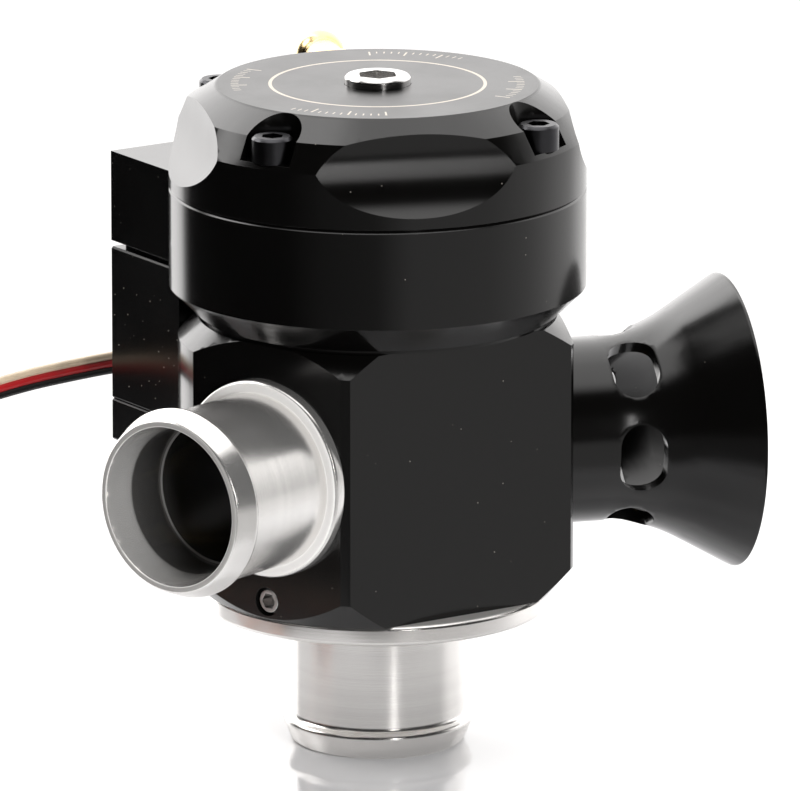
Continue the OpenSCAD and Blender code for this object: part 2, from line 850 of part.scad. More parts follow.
// Brass barb for the boost signal hose, screwed into the flute at the back
module hose_nipple() {
    root = flute_in + flute_r - sqrt(pow(flute_r, 2) - pow(nipple_barb_r + 1, 2)) + run_gap;
    collar = root + 1.6;
    ball = root + nipple_out - nipple_barb_r;
    color("gold")
        facing(cap_turn + 180, nipple_z)
            difference() {
                union() {
                    translate([0, 0, chamber_r - 3])
                        cylinder(h = root - chamber_r + 3, r = stem_r);
                    translate([0, 0, root])
                        cylinder(h = collar - root, r = nipple_barb_r);
                    translate([0, 0, collar])
                        cylinder(h = ball - collar, r = nipple_neck_r);
                    translate([0, 0, ball])
                        sphere(nipple_barb_r);
                }
                cylinder(h = big, r = nipple_bore);
            }
}

// Places of the four through bolts that clamp the servo to the block
module bolt_places() {
    for (x = [bolt_inset - servo_l / 2, servo_l / 2 - bolt_inset])
        for (y = [servo_y0 + bolt_inset, servo_y1 - bolt_inset])
            translate([x, y, 0])
                children();
}

// A box with its lower and upper edges bevelled
module case_box(z0, z1) {
    height = z1 - z0;
    translate([-servo_l / 2, servo_y0, z0])
        difference() {
            cube([servo_l, servo_w, height]);
            for (z = [0, height])
                for (end = [0, servo_l])
                    translate([end, servo_w / 2, z])
                        rotate([0, 45, 0])
                            cube([edge, 2 * servo_w, edge], center = true);
        }
}

module servo_cover() {
    color("dimgray")
        difference() {
            case_box(servo_z, servo_z + cover_h);
            bolt_places() {
                translate([0, 0, servo_z - past])
                    cylinder(h = big, r = bolt_r + run_gap);
                translate([0, 0, servo_z - past])
                    cylinder(h = bolt_sink + past, r = bolt_head_r + thrust_gap);
            }
        }
}

module servo_case() {
    color("dimgray")
        difference() {
            case_box(servo_z + cover_h, shoulder_z);
            bolt_places()
                translate([0, 0, servo_z])
                    cylinder(h = big, r = bolt_r + run_gap);
            translate([shaft_x, shaft_y, shoulder_z - shaft_in])
                cylinder(h = big, r = shaft_r + run_gap);
        }
}

module servo_top() {
    color("black")
        difference() {
            translate([servo_inset - servo_l / 2, servo_y0 + servo_inset, shoulder_z])
                cube([servo_l - 2 * servo_inset, servo_w - 2 * servo_inset, spigot_top_z - shoulder_z]);
            bolt_places()
                translate([0, 0, servo_z])
                    cylinder(h = big, r = bolt_r + run_gap);
            translate([shaft_x, shaft_y, servo_z])
                cylinder(h = big, r = shaft_r + run_gap);
        }
}

module servo_bolts() {
    seat = servo_z + bolt_sink;
    color("silver")
        bolt_places()
            difference() {
                union() {
                    translate([0, 0, seat])
                        cylinder(h = block_z + bolt_in - edge - seat, r = bolt_r);
                    translate([0, 0, seat - bolt_head_h])
                        cylinder(h = bolt_head_h, r = bolt_head_r);
                }
                translate([0, 0, seat - bolt_head_h - past])
                    cylinder(h = 2 * past, r = small_key / sqrt(3), $fn = 6);
            }
}

module servo_shaft() {
    color("silver")
        translate([shaft_x, shaft_y, shoulder_z - shaft_in + run_gap])
            difference() {
                cylinder(h = gear_z + gear_h - shaft_sink - shoulder_z + shaft_in - run_gap, r = shaft_r);
                translate([0, 0, shaft_in])
                    cylinder(h = big, r = shaft_screw_r + run_gap);
            }
}

module servo_pinion() {
    root_r = pinion_pitch_r - tooth_down;
    color("darkgoldenrod")
        translate([shaft_x, shaft_y, gear_z])
            difference() {
                union() {
                    cylinder(h = gear_h, r = root_r);
                    for (k = [0:pinion_teeth - 1])
                        rotate([0, 0, shaft_turn + 90 + k * 360 / pinion_teeth])
                            linear_extrude(gear_h)
                                tooth(pinion_pitch_r, pinion_teeth);
                }
                translate([0, 0, -past])
                    cylinder(h = gear_h + 2 * past, r = shaft_r);
            }
}

module pinion_screw() {
    color("silver")
        translate([shaft_x, shaft_y, gear_z + gear_h - shaft_sink])
            difference() {
                union() {
                    cylinder(h = shaft_head_h, r = shaft_r - thrust_gap);
                    translate([0, 0, -shaft_screw_len])
                        cylinder(h = shaft_screw_len, r = shaft_screw_r);
                }
                translate([0, 0, shaft_head_h / 2])
                    cylinder(h = past, r = small_key / sqrt(3), $fn = 6);
            }
}

module lead_grommet() {
    color("black")
        translate([grommet_x, servo_y1, grommet_z])
            rotate([-90, 0, 0])
                cylinder(h = grommet_len, r1 = lead_d / 2 + grommet_flare, r2 = lead_d / 2 + grommet_lip);
}

module servo_lead() {
    color("firebrick")
        swept_tube(lead_route, lead_d / 2, tube_sides);
}

// Outer shape of the coiled lead, which lies on edge in a turn and a quarter
module lead_coil() {
    color("firebrick")
        translate([coil_x, coil_y, lead_z])
            rotate_extrude()
                translate([coil_r - lead_t / 2, -lead_d / 2])
                    square([2 * lead_t, lead_d]);
}

module lead_tail() {
    color("firebrick")
        swept_tube(tail_route, lead_d / 2, tube_sides);
}

module lead_tie() {
    tie_w = 3;
    slack = fit_gap;
    inner = [2 * (lead_t + slack), 2 * tie_w, lead_d];
    outer = [2 * (lead_t + slack + tie_t), tie_w, lead_d + 2 * tie_t];
    color("black")
        translate([coil_x + coil_r + lead_t / 2, coil_y, lead_z])
            difference() {
                cube(outer, center = true);
                cube(inner, center = true);
            }
}

module lead_connector() {
    color("black")
        translate([tail_x, coil_y - tail_len - connector_l / 2, plug_z_mid])
            difference() {
                cube([connector_w, connector_l, connector_t], center = true);
                for (way = [-1:1])
                    translate([way * contact_pitch, -connector_l / 2, 0])
                        cube([contact_w, 2 * contact_depth, contact_w], center = true);
            }
}

base_adapter();
base_oring();
valve_body();
set_screw();
recirc_fitting();
recirc_oring();
trumpet();
trumpet_oring();
bias_sleeve();
piston();
piston_ring();
valve_spring();
spring_seat();
adjuster_screw();
adjuster_clip();
adjuster_oring();
head_housing();
head_cap();
cap_oring();
cap_screws();
hose_nipple();
servo_cover();
servo_case();
servo_top();
servo_bolts();
servo_shaft();
servo_pinion();
pinion_screw();
lead_grommet();
servo_lead();
lead_coil();
lead_tail();
lead_tie();
lead_connector();
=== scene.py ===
# A servo-driven blow off valve, dressed piece by piece in the order in which it is put together.
import bpy
import json
import math
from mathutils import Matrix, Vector

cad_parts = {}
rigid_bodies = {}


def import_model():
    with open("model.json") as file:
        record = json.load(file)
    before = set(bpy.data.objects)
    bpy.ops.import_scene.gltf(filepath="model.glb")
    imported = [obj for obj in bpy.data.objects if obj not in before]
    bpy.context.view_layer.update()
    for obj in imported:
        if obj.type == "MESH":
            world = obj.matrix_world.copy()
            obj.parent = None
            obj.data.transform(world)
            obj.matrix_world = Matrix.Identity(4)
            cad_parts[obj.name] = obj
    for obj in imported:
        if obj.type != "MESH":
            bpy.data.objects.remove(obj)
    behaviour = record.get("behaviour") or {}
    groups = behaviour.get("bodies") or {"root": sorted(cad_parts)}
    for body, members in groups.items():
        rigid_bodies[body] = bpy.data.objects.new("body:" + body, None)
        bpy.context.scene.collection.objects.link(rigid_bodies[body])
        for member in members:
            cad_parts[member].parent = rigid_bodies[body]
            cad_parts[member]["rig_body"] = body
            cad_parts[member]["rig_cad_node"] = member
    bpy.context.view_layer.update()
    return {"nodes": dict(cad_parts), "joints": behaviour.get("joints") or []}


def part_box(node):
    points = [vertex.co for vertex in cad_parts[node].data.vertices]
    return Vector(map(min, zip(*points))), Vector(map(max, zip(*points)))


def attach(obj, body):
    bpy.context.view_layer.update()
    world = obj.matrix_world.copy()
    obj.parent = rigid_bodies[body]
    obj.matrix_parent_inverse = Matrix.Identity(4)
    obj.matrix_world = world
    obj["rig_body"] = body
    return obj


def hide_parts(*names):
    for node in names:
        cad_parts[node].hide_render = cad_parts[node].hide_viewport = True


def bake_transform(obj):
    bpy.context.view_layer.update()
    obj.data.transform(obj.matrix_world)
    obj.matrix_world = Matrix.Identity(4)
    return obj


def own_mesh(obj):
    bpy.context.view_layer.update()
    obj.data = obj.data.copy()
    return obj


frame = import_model()
MM = 0.001


# Base adapter: the hose tube and flange that the body is clamped on.
# Turned from bright aluminium bar in one piece, so its faces carry fine rings about the valve's axis.
class Shade:
    """A value in a material's node tree, which takes + - * / and feeds further nodes."""

    def __init__(self, tree, socket=None):
        self.tree = tree
        self.socket = socket

    def node(self, kind, settings=None, out=0, **inputs):
        """Adds a node, applies its settings, then fills its sockets. Input names use _ for a space."""
        made = self.tree.nodes.new(kind)
        for name, value in (settings or {}).items():
            if name == "stops":
                ramp = made.color_ramp.elements
                while len(ramp) < len(value):
                    ramp.new(0.5)
                for stop, (place, colour) in zip(ramp, value):
                    stop.position = place
                    stop.color = colour
            else:
                setattr(made, name, value)
        for name, value in inputs.items():
            key = int(name[1:]) if name[0] == "i" and name[1:].isdigit() else name.replace("_", " ")
            socket = made.inputs[key]
            if isinstance(value, Shade):
                self.tree.links.new(value.socket, socket)
            else:
                socket.default_value = value
        return Shade(self.tree, made.outputs[out])

    def math(self, operation, other=0.0):
        return self.node("ShaderNodeMath", {"operation": operation}, i0=self, i1=other)

    def __add__(self, other):
        return self.math("ADD", other)

    __radd__ = __add__

    def __mul__(self, other):
        return self.math("MULTIPLY", other)

    __rmul__ = __mul__

    def __sub__(self, other):
        return self.math("SUBTRACT", other)

    def __rsub__(self, other):
        return self.node("ShaderNodeMath", {"operation": "SUBTRACT"}, i0=other, i1=self)

    def __truediv__(self, other):
        return self.math("DIVIDE", other)

    def step(self, low, high):
        """0 below low, 1 above high, smooth between."""
        return self.node("ShaderNodeMapRange", {"interpolation_type": "SMOOTHSTEP"},
                         i0=self, i1=low, i2=high, i3=0.0, i4=1.0)

    def mix(self, a, b):
        """A colour between a and b, by this value."""
        return self.node("ShaderNodeMix", {"data_type": "RGBA"}, out=2, i0=self, i6=a, i7=b)

    def noise(self, scale, detail=2.0, rough=0.5):
        """Noise over this vector."""
        return self.node("ShaderNodeTexNoise", Vector=self, Scale=scale, Detail=detail, Roughness=rough)

    def vector(self, operation, other=(0, 0, 0), out=0):
        return self.node("ShaderNodeVectorMath", {"operation": operation}, out=out, i0=self, i1=other)

    def along(self, axis, origin=(0, 0, 0)):
        """Distance of this point along an axis from an origin."""
        return self.vector("SUBTRACT", origin).vector("DOT_PRODUCT", axis, out=1)

    def from_axis(self, axis, origin=(0, 0, 0)):
        """Distance of this point from an axis."""
        return self.vector("SUBTRACT", origin).vector("CROSS_PRODUCT", axis).vector("LENGTH", out=1)

    def about(self, axis, origin):
        """This point as its distance from an axis and along it, for marks that run round a turned piece."""
        away, beyond = self.from_axis(axis, origin), self.along(axis, origin)
        return self.node("ShaderNodeCombineXYZ", i0=away, i1=beyond, i2=0.0)


def new_material(name, **constants):
    """A material with its constants set, as its surface shader and the point being shaded."""
    material = bpy.data.materials.new(name)
    material.use_nodes = True
    surface = material.node_tree.nodes["Principled BSDF"]
    for key, value in constants.items():
        surface.inputs[key.replace("_", " ")].default_value = value
    start = Shade(material.node_tree)
    point = start.node("ShaderNodeTexCoord", out=3)
    return material, surface, point


def feed(surface, **links):
    """Links values that change over the surface to the shader's sockets."""
    for key, value in links.items():
        value.tree.links.new(value.socket, surface.inputs[key.replace("_", " ")])


def turned_metal(name, colour, axis, origin, roughness, depth, face_cut=0.1, bloom=0.0):
    """Bare metal from the lathe: fine rings about the axis in tone and bump, to a depth in metres.

    face_cut makes the faced ends rougher, and bloom makes them paler and less of a mirror.
    """
    material, surface, point = new_material(name, Metallic=1.0)
    line_gap = 0.00014
    rings = point.about(axis, origin)
    fine = rings.noise(1 / line_gap, 2.0, 0.6)
    broad = rings.noise(0.1 / line_gap, 1.0)
    facing = point.node("ShaderNodeTexCoord", out=1).along(axis).math("ABSOLUTE").step(0.75, 0.95)
    haze = point.noise(110.0, 4.0, 0.6)
    marks = point.noise(620.0, 4.0, 0.7).step(0.74, 0.8)
    dull = [c * 0.95 for c in colour] + [1]
    feed(surface,
         Base_Color=(broad.step(0.3, 0.7) * (1 - marks * 0.8)).mix(dull, list(colour) + [1]),
         Roughness=roughness + facing * face_cut + haze.step(0.3, 0.9) * 0.02 + marks * 0.1,
         Normal=point.node("ShaderNodeBump", Height=fine + broad * 0.08, Strength=1.0, Distance=depth))
    if bloom:
        feed(surface, Metallic=1 - bloom * (0.1 + facing * 0.9))
    return material


def dressed(node, material, bevel, angle=32.0, body="valve"):
    """A copy of a CAD node as one closed mesh, its sharp edges broken, standing for the node."""
    bpy.ops.object.select_all(action="DESELECT")
    source = frame["nodes"][node]
    piece = source.copy()
    piece.data = source.data.copy()
    bpy.context.scene.collection.objects.link(piece)
    piece.parent = None
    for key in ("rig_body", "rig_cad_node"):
        del piece[key]
    piece.name = node + "_dressed"
    piece.data.name = piece.name
    bpy.context.view_layer.objects.active = piece
    piece.select_set(True)
    bpy.ops.object.mode_set(mode="EDIT")
    bpy.ops.mesh.customdata_custom_splitnormals_clear()
    bpy.ops.mesh.select_all(action="SELECT")
    same_point, flat_within = 0.000002, math.radians(0.4)
    bpy.ops.mesh.remove_doubles(threshold=same_point)
    bpy.ops.mesh.dissolve_limited(angle_limit=flat_within)
    bpy.ops.object.mode_set(mode="OBJECT")
    edge = piece.modifiers.new("edge", "BEVEL")
    edge.width = bevel
    edge.segments = 2
    edge.limit_method = "ANGLE"
    edge.angle_limit = math.radians(angle)
    edge.use_clamp_overlap = True
    edge.harden_normals = False
    bpy.ops.object.modifier_apply(modifier="edge")
    bpy.ops.object.shade_smooth_by_angle(angle=math.radians(angle))
    even = piece.modifiers.new("even", "WEIGHTED_NORMAL")
    even.keep_sharp = True
    bpy.ops.object.modifier_apply(modifier="even")
    piece.data.materials.clear()
    piece.data.materials.append(material)
    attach(piece, body)
    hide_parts(node)
    return piece


UP = (0.0, 0.0, 1.0)
CENTRE = (0.0, 0.0, 0.0)
base_tone = (0.88, 0.86, 0.835)
base_metal = turned_metal("turned_aluminium_base", base_tone, UP, CENTRE, 0.22,
                          depth=0.000007, face_cut=0.3, bloom=0.25)
dressed("base_adapter", base_metal, bevel=0.00018)


# Seals: soft black rubber rings that sit in turned grooves, out of sight once the valve is together.
# Moulded, with a fine matte skin.
def rubber(name):
    """Black rubber with a fine matte skin."""
    material, surface, point = new_material(name, Base_Color=(0.012, 0.012, 0.012, 1))
    skin = point.noise(2500.0, 4.0, 0.6)
    feed(surface,
         Roughness=0.5 + skin * 0.25,
         Normal=point.node("ShaderNodeBump", Height=skin, Strength=0.25, Distance=0.00005))
    return material


def painted(material, *nodes):
    """CAD nodes that keep their own mesh and take a material."""
    for node in nodes:
        mesh = frame["nodes"][node].data
        mesh.materials.clear()
        mesh.materials.append(material)


seal_rubber = rubber("seal_rubber")
painted(seal_rubber, "base_oring", "recirc_oring", "trumpet_oring", "cap_oring", "adjuster_oring",
        "piston_ring")


# Valve body: a turned block with flats milled for the ports, the front and the servo.
# Aluminium, dyed a deep glossy black in the anodising bath, with a little pale dust on it.
def black_anodise(name, axis, origin, roughness=0.13, dust=0.9, pale=0.16, grains=700.0, scuffs=0.0):
    """Black dyed metal. A lower dust value leaves more specks, grains sets how close they lie."""
    dye, dust_tone = (0.0017, 0.0016, 0.0015, 1), (0.62, 0.57, 0.5, 1)
    material, surface, point = new_material(name, IOR=1.52)
    fine = point.about(axis, origin).noise(2600.0, 2.0, 0.6)
    cloud = point.noise(70.0, 4.0, 0.6)
    grain = point.noise(5200.0, 2.0, 0.5)
    cells = point.node("ShaderNodeTexVoronoi", Vector=point, Scale=grains)
    drawn = point.node("ShaderNodeTexVoronoi", out=1, Vector=point, Scale=grains)
    lot = drawn.node("ShaderNodeSeparateColor", i0=drawn)
    speck = (1 - (cells - lot * 0.06).step(0.0, 0.03)) * lot.step(dust, dust + 0.02) * pale
    stretched = point.node("ShaderNodeMapping", Vector=point, Scale=(900.0, 900.0, 60.0))
    rub = stretched.noise(1.0, 3.0, 0.7).step(0.68, 0.8) * scuffs
    mark = speck.math("MAXIMUM", rub)
    feed(surface,
         Base_Color=mark.mix(dye, dust_tone),
         Roughness=roughness + cloud.step(0.35, 0.75) * 0.05 + fine * 0.03 + mark * 0.35,
         Normal=point.node("ShaderNodeBump", Height=fine * 0.6 + grain * 0.4, Strength=0.05, Distance=0.00003))
    return material


body_black = black_anodise("black_anodise_body", UP, CENTRE)
SHALLOW_EDGE = 14  # degrees: keeps the milled bevels crisp
dressed("valve_body", body_black, bevel=0.00022, angle=SHALLOW_EDGE)


# Set screw: the small grub screw that locks the body on its base.
# Steel, with a hex socket, screwed in flush with the left flat.
def bright_steel(name, axis, origin, colour=(0.62, 0.61, 0.6), roughness=0.22):
    """Plain steel from the lathe."""
    return turned_metal(name, colour, axis, origin, roughness, depth=0.000008)


def middle_of(node):
    """The middle of a CAD node's box."""
    lowest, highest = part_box(node)
    return (lowest + highest) / 2


port_turn = math.radians(72.0)
port_height = middle_of("recirc_fitting").z
LEFT_PORT = (-math.sin(port_turn), -math.cos(port_turn), 0.0)
RIGHT_PORT = (math.sin(port_turn), -math.cos(port_turn), 0.0)
AT_PORTS = (0.0, 0.0, port_height)
at_set_screw = (0, 0, middle_of("set_screw").z)
dressed("set_screw", bright_steel("steel_set_screw", LEFT_PORT, at_set_screw), bevel=0.00008)

# Hose outlet: the tube that returns vented air to the intake, with a bead for the hose.
# Turned from bright aluminium and pressed into the left flat on its collar.
# A ring on its lip's face is coloured darker, and painted shade darkens the bore past the mouth's taper.
# the dark tone of the bore's painted shade, also used for the darker ring on the lip
outlet_tone, bore_shade_and_lip_tone = (0.86, 0.845, 0.825), (0.05, 0.045, 0.04, 1)
outlet_metal = turned_metal("turned_aluminium_outlet", outlet_tone, LEFT_PORT, AT_PORTS, 0.23,
                            depth=0.000008, face_cut=0.25, bloom=0.85)
outlet_surface = outlet_metal.node_tree.nodes["Principled BSDF"]
point = Shade(outlet_metal.node_tree).node("ShaderNodeTexCoord", out=3)
outlet_tip = max(Vector(LEFT_PORT).dot(v.co) for v in frame["nodes"]["recirc_fitting"].data.vertices)
mouth_r, lip_inner, lip_outer, lip_depth = 11.3 * MM, 11.35 * MM, 12.0 * MM, 0.1 * MM
edge_soft = 0.15 * MM
taper_depth, taper_soft = 4.5 * MM, 0.3 * MM
radius = point.from_axis(LEFT_PORT, AT_PORTS)
depth = outlet_tip - point.along(LEFT_PORT)
in_bore = 1 - radius.step(mouth_r, mouth_r + edge_soft)
# painted shade: the bore past the taper is coloured dark, where shade falls inside the tube
painted_bore_shade = in_bore * depth.step(taper_depth - taper_soft, taper_depth + taper_soft)
lip = (1 - depth.step(lip_depth, lip_depth + edge_soft)) * radius.step(lip_inner, lip_inner + edge_soft)
lip = lip * (1 - radius.step(lip_outer, lip_outer + edge_soft))
bright = Shade(outlet_metal.node_tree, outlet_surface.inputs["Base Color"].links[0].from_socket)
shine = Shade(outlet_metal.node_tree, outlet_surface.inputs["Metallic"].links[0].from_socket)
# the bore's painted shade and the darker lip ring both mix the colour towards the dark tone
feed(outlet_surface,
     Base_Color=(painted_bore_shade * 0.62 + lip * 0.6).mix(bright, bore_shade_and_lip_tone),
     Metallic=shine * (1 - (in_bore - painted_bore_shade) * 0.13))
dressed("recirc_fitting", outlet_metal, bevel=0.00018)

# Trumpet: the flared outlet to the open air, with round-ended slots milled round its neck.
# Turned from aluminium and anodised black, screwed into the right flat.
trumpet_black = black_anodise("black_anodise_trumpet", RIGHT_PORT, AT_PORTS, dust=0.94)
dressed("trumpet", trumpet_black, bevel=0.00018)

# Sleeve: the turning tube that opens the outlets in turn, with a gear sector at its top.
# Brass, turned and hobbed, a running fit in the body's bore.
BRASS = (0.83, 0.60, 0.27)
sleeve_brass = turned_metal("turned_brass_sleeve", BRASS, UP, CENTRE, 0.24, depth=0.000012)
dressed("bias_sleeve", sleeve_brass, bevel=0.0001, body="sleeve")

# Piston: the cup that boost pressure lifts off its seat, with a plastic ring near its top.
# Aluminium with a grey hard coat.
piston_metal = turned_metal("hard_coat_piston", (0.36, 0.36, 0.38), UP, CENTRE, 0.34, depth=0.000008)
dressed("piston", piston_metal, bevel=0.0002, body="piston_set")

# Valve spring: closes the piston, with its end turns wound close so that it stands square.
# Round spring steel wire, cut in two out of sight, four and a half turns from its lower end.
low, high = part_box("valve_spring")
wire_r = 1.0 * MM
spring_r = high.x - wire_r
turns, per_turn = 7, 40
climb = high.z - low.z - 2 * wire_r
spring_line = []
for i in range(turns * per_turn + 1):
    turn = i / per_turn
    closed = (min(turn, 1) + max(turn - turns + 1, 0)) * 2 * wire_r
    open_turns = min(max(turn - 1, 0), turns - 2) / (turns - 2) * (climb - 4 * wire_r)
    angle = 2 * math.pi * turn
    spring_line.append((spring_r * math.cos(angle), spring_r * math.sin(angle),
                        low.z + wire_r + closed + open_turns))


def wire_along(name, line, radius):
    """A round wire along a line of points, as a mesh."""
    curve = bpy.data.curves.new(name, "CURVE")
    curve.dimensions = "3D"
    curve.bevel_depth = radius
    curve.bevel_resolution = 4
    curve.use_fill_caps = True
    spline = curve.splines.new("POLY")
    spline.points.add(len(line) - 1)
    for point, place in zip(spline.points, line):
        point.co = (*place, 1)
    wire = bpy.data.objects.new(name, curve)
    bpy.context.scene.collection.objects.link(wire)
    bpy.ops.object.select_all(action="DESELECT")
    bpy.context.view_layer.objects.active = wire
    wire.select_set(True)
    bpy.ops.object.convert(target="MESH")
    bpy.ops.object.shade_smooth()
    return bpy.context.active_object


spring_steel = bright_steel("spring_steel", UP, CENTRE, (0.45, 0.46, 0.48), 0.28)
part_turn = 4.5
part_at = int(part_turn * per_turn)
part_z = spring_line[part_at][2]
lower_turns = wire_along("valve_spring_lower", spring_line[:part_at + 1], wire_r)
upper_turns = wire_along("valve_spring_upper", spring_line[part_at:], wire_r)
for turns_made in (lower_turns, upper_turns):
    turns_made.data.materials.append(spring_steel)
    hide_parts("valve_spring")
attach(lower_turns, "valve")
full_lift = next(j for j in frame["joints"] if j["name"] == "piston_lift")["range_m"][1]
below = part_z - low.z
(below - full_lift) / below
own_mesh(lower_turns)
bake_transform(upper_turns)

# Spring plate and adjuster: the screw in the cap's middle moves a plate on its thread, which loads the spring.
# The plate is brass with two keys. The screw is bright steel, held by a clip below the cap's roof.
dressed("spring_seat", turned_metal("turned_brass_plate", BRASS, UP, CENTRE, 0.26, depth=0.000012),
        bevel=0.00015, body="spring_plate")
dressed("adjuster_screw", bright_steel("steel_adjuster", UP, CENTRE, (0.74, 0.73, 0.72), 0.2),
        bevel=0.00015, body="adjuster")
dressed("adjuster_clip", bright_steel("steel_clip", UP, CENTRE, (0.3, 0.3, 0.31), 0.3),
        bevel=0.0001, body="adjuster")

# Head housing: the ring that carries the cap, with the block behind it that the servo hangs from.
# Aluminium in the same black anodise as the body.
head_black = black_anodise("black_anodise_head", UP, CENTRE, dust=0.86)
dressed("head_housing", head_black, bevel=0.0003, angle=SHALLOW_EDGE)


# Cap: the domed lid with finger flutes and pockets for its screws.
# Black anodised aluminium, with a plain laser-marked ring and scale round the adjuster.
def marked_cap(name, top):
    """Black anodise with a ring and four stretches of scale etched pale in its top face."""
    etch_tone = (0.62, 0.56, 0.48, 1)
    material = black_anodise(name, UP, CENTRE, dust=0.93)
    tree = material.node_tree
    surface = tree.nodes["Principled BSDF"]
    point = Shade(tree).node("ShaderNodeTexCoord", out=3)
    radius = point.from_axis(UP)
    parts = point.node("ShaderNodeSeparateXYZ", out=0, i0=point)
    across = Shade(tree, parts.socket.node.outputs[1])
    height = Shade(tree, parts.socket.node.outputs[2])
    angle = across.math("ARCTAN2", parts) * (180 / math.pi)

    def band(value, low, high, soft):
        return value.step(low - soft, low + soft) * (1 - value.step(high - soft, high + soft))

    soft = 0.04 * MM
    ring = band(radius, 14.9 * MM, 15.4 * MM, soft)
    small = (angle / 3.0).math("PINGPONG", 0.5)
    large = (angle / 15.0).math("PINGPONG", 0.5)
    ticks = (1 - small.step(0.07, 0.1)) * band(radius, 19.6 * MM, 20.7 * MM, soft)
    marks = (1 - large.step(0.02, 0.03)) * band(radius, 18.4 * MM, 20.7 * MM, soft)
    round_by = angle.math("ABSOLUTE")
    sides = band(round_by, 20.0, 62.0, 0.1) + band(round_by, 118.0, 160.0, 0.1)
    on_top = height.step(top - 0.1 * MM, top - 0.05 * MM)
    etched = ring.math("MAXIMUM", ticks.math("MAXIMUM", marks) * sides) * on_top
    lid = height.step(top - 0.3 * MM, top - 0.05 * MM)
    colour = Shade(tree, surface.inputs["Base Color"].links[0].from_socket)
    gloss = Shade(tree, surface.inputs["Roughness"].links[0].from_socket)
    feed(surface, Base_Color=etched.mix(colour, etch_tone), Roughness=gloss + lid * 0.16 + etched * 0.25)
    return material


cap_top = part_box("head_cap")[1].z
dressed("head_cap", marked_cap("black_anodise_cap", cap_top), bevel=0.0002, angle=SHALLOW_EDGE)

# Cap screws: socket heads sunk in the pockets between the flutes.
# Steel in black oxide.
oxide = turned_metal("black_oxide_screws", (0.07, 0.07, 0.075), UP, CENTRE, 0.3, depth=0.000006)
dressed("cap_screws", oxide, bevel=0.00025)

# Signal barb: the little hose nipple that brings manifold pressure to the spring side.
# Turned brass, screwed into the flute at the back.
barb_turn = math.radians(158.5)
BARB_AXIS = (math.sin(barb_turn), -math.cos(barb_turn), 0.0)
barb_height = middle_of("hose_nipple").z
barb_brass = turned_metal("turned_brass_barb", (0.86, 0.66, 0.33), BARB_AXIS, (0, 0, barb_height), 0.2,
                          depth=0.000012)
dressed("hose_nipple", barb_brass, bevel=0.00012)

# Servo: the small motor that turns the sleeve, in a case with a lower cover held by four long bolts.
# Black anodised aluminium, dusty and rubbed from handling.
servo_middle = tuple(middle_of("servo_case"))
servo_black = black_anodise("black_servo_case", UP, servo_middle, 0.17, dust=0.2, pale=1.0, grains=950.0,
                            scuffs=0.15)
for node in ("servo_cover", "servo_case", "servo_top"):
    dressed(node, servo_black, bevel=0.0002)
dressed("servo_bolts", bright_steel("steel_servo_bolts", UP, servo_middle), bevel=0.0001)

# Servo drive: the shaft with its pinion and screw, inside the block.
# Steel shaft and screw, brass pinion.
drive_middle = tuple(middle_of("servo_pinion"))
drive_steel = bright_steel("steel_servo_drive", UP, drive_middle)
for node in ("servo_shaft", "pinion_screw"):
    dressed(node, drive_steel, bevel=0.00008, body="drive")
dressed("servo_pinion", turned_metal("turned_brass_pinion", BRASS, UP, drive_middle, 0.24, depth=0.000012),
        bevel=0.00008, body="drive")

# Grommet: the sleeve that keeps the lead from chafing where it leaves the case.
# Black rubber.
dressed("lead_grommet", rubber("grommet_rubber"), bevel=0.0003)

# Lead: a flat ribbon of three bonded wires on edge, wound up in a turn and a quarter at its far end.
# Soft vinyl, tan above, red in the middle and black below. It turns flat where it meets its plug.
lead_w, wire_d = 3.3 * MM, 1.1 * MM
exit_low, exit_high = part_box("lead_grommet")
lead_exit = Vector(((exit_low.x + exit_high.x) / 2, exit_high.y, (exit_low.z + exit_high.z) / 2))
coil_middle = middle_of("lead_coil")
coil_r = 19.0 * MM
lead_points = [lead_exit] + [Vector(p) * MM for p in (
    (-3, 45, 46), (-4.4, 48.2, 46), (-7.6, 50.6, 46),
    (-12, 51.4, 46), (-20, 51.2, 45.8), (-28, 50.8, 45.4), (-36, 50.2, 44.4),
    (-43, 49.4, 41.8), (-48.6, 48.4, 37), (-52.4, 47.4, 30.6), (-55.4, 46.4, 23.4),
    (-58.6, 45.2, 16), (-62.6, 43.8, 9.2), (-68, 42.4, 4.4), (-75, 41.4, 2.7))]
per_turn, coil_turns = 48, 1.25
for i in range(int(per_turn * coil_turns) + 1):
    turn = i / per_turn
    angle = math.radians(90) + 2 * math.pi * turn
    radius = coil_r + 1.25 * MM * min(max(turn - 0.5, 0) / 0.5, 1)
    lead_points.append(coil_middle + Vector((radius * math.cos(angle), radius * math.sin(angle), 0)))
plug_middle = middle_of("lead_connector")
coil_end = lead_points[-1]
lead_end = Vector((plug_middle.x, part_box("lead_connector")[1].y, plug_middle.z))
tail_points = 6
for i in range(1, tail_points + 1):
    share = i / tail_points
    place = coil_end.lerp(lead_end, share)
    place.z = coil_end.z + (lead_end.z - coil_end.z) * min(share / 0.6, 1)
    lead_points.append(place)


def smooth_line(points, steps):
    """A smooth line through points, with some steps between each two."""
    line = []
    for i in range(len(points) - 1):
        a, b, c, d = (points[min(max(k, 0), len(points) - 1)] for k in (i - 1, i, i + 1, i + 2))
        for k in range(steps):
            t = k / steps
            line.append(0.5 * (2 * b + (c - a) * t + (2 * a - 5 * b + 4 * c - d) * t * t
                               + (3 * b - a - 3 * c + d) * t ** 3))
    return line + [points[-1]]


